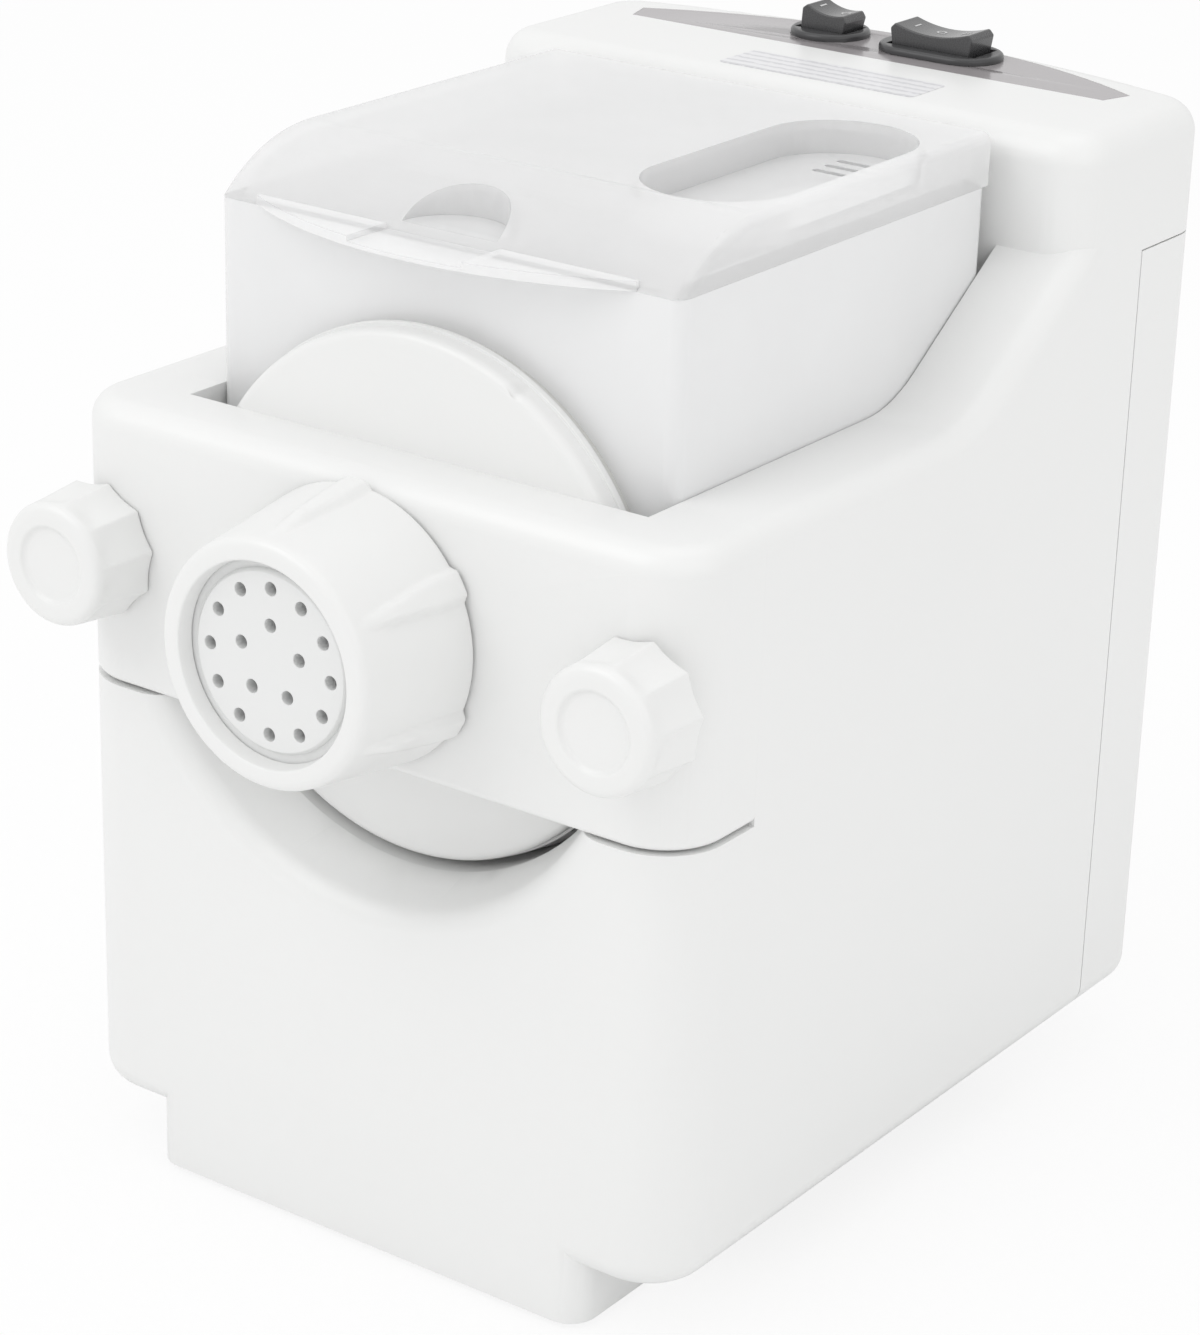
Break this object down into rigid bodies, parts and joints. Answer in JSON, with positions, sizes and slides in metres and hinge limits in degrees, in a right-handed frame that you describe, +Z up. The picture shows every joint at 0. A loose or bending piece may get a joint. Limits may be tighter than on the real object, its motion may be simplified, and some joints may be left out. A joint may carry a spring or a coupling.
{
  "type": "electric pasta maker",
  "caption": "Countertop electric pasta maker with a lidded mixing bowl, motor tower, rocker switches and an extruder front with a perforated die under a ribbed nut.",
  "frame": {"origin": "on the table, under the middle of the machine's overall length and width", "axes": "+X to the machine's right as seen from its front, +Y to the rear (the die end faces -Y), +Z up"},
  "size_m": [0.2116, 0.3, 0.2949],
  "materials": {
    "white_shell": "fine satin",
    "white_knob": "satin",
    "clear_plastic": "clear",
    "base_tray": "matte",
    "foot_rubber": "matte",
    "seal_rubber": "matte",
    "screw_steel": "plain",
    "plate_steel": "plain",
    "gear_plastic": "plain",
    "gear_brass": "plain",
    "paddle_plastic": "satin",
    "capacitor_can": "plain",
    "panel_grey": "satin",
    "switch_black": "satin",
    "rocker_grey": "gloss"
  },
  "bodies": {
    "housing": {"main_housing": "white_shell", "rear_cover": "white_shell", "base_plate": "base_tray", "rubber_feet": "foot_rubber", "base_screws": "screw_steel", "front_bracket": "white_shell", "bracket_studs": "screw_steel", "front_plate": "white_knob", "front_plate_seal": "seal_rubber", "die": "white_knob", "mixing_bowl": "clear_plastic", "gear_plate_front": "plate_steel", "gear_plate_rear": "plate_steel", "gear_frame_posts": "screw_steel", "gear_frame_screws": "screw_steel", "idler_pin": "screw_steel", "output_bush": "gear_brass", "shaft_seal": "seal_rubber", "motor_casing": "plate_steel", "motor_mount": "base_tray", "motor_cradle": "base_tray", "run_capacitor": "capacitor_can", "interlock_switch": "switch_black", "cord_gland": "switch_black", "control_panel": "panel_grey", "small_switch_case": "switch_black", "main_switch_case": "switch_black"},
    "drive": {"output_gear": "gear_plastic", "drive_shaft": "screw_steel", "mixing_paddle": "paddle_plastic"},
    "idler": {"idler_gear": "gear_plastic"},
    "rotor": {"motor_rotor": "screw_steel", "motor_fan": "paddle_plastic", "motor_pinion": "gear_brass"},
    "knob_left": {"thumb_knob_left": "white_knob"},
    "knob_right": {"thumb_knob_right": "white_knob"},
    "nut": {"die_nut": "white_knob"},
    "lid": {"bowl_lid": "clear_plastic"},
    "rocker_small": {"small_rocker": "rocker_grey"},
    "rocker_main": {"main_rocker": "rocker_grey"}
  },
  "joints": [
    {"name": "drive_spin", "type": "hinge", "parent": "housing", "child": "drive", "pos_m": [0, 0, 0.1802], "axis": [0, 1, 0], "continuous": true},
    {"name": "idler_spin", "type": "hinge", "parent": "housing", "child": "idler", "pos_m": [0, 0, 0.1092], "axis": [0, 1, 0], "continuous": true},
    {"name": "rotor_spin", "type": "hinge", "parent": "housing", "child": "rotor", "pos_m": [0, 0, 0.0642], "axis": [0, 1, 0], "continuous": true},
    {"name": "knob_left_turn", "type": "hinge", "parent": "housing", "child": "knob_left", "pos_m": [-0.0872, -0.112, 0.1802], "axis": [0, 1, 0], "continuous": true},
    {"name": "knob_right_turn", "type": "hinge", "parent": "housing", "child": "knob_right", "pos_m": [0.0872, -0.112, 0.1802], "axis": [0, 1, 0], "continuous": true},
    {"name": "nut_turn", "type": "hinge", "parent": "housing", "child": "nut", "pos_m": [0, -0.13, 0.1802], "axis": [0, 1, 0], "continuous": true},
    {"name": "lid_tilt", "type": "hinge", "parent": "housing", "child": "lid", "pos_m": [0, 0.066, 0.2765], "axis": [-1, 0, 0], "range_deg": [0, 25]},
    {"name": "small_rocker_tilt", "type": "hinge", "parent": "housing", "child": "rocker_small", "pos_m": [-0.0215, 0.13, 0.286], "axis": [0, 1, 0], "range_deg": [-18, 0]},
    {"name": "main_rocker_tilt", "type": "hinge", "parent": "housing", "child": "rocker_main", "pos_m": [0.016, 0.13, 0.286], "axis": [0, 1, 0], "range_deg": [-9, 9]}
  ],
  "couplings": [
    {"joint": "idler_spin", "follows": "drive_spin", "ratio": -4.0714},
    {"joint": "rotor_spin", "follows": "drive_spin", "ratio": 20.357}
  ]
}
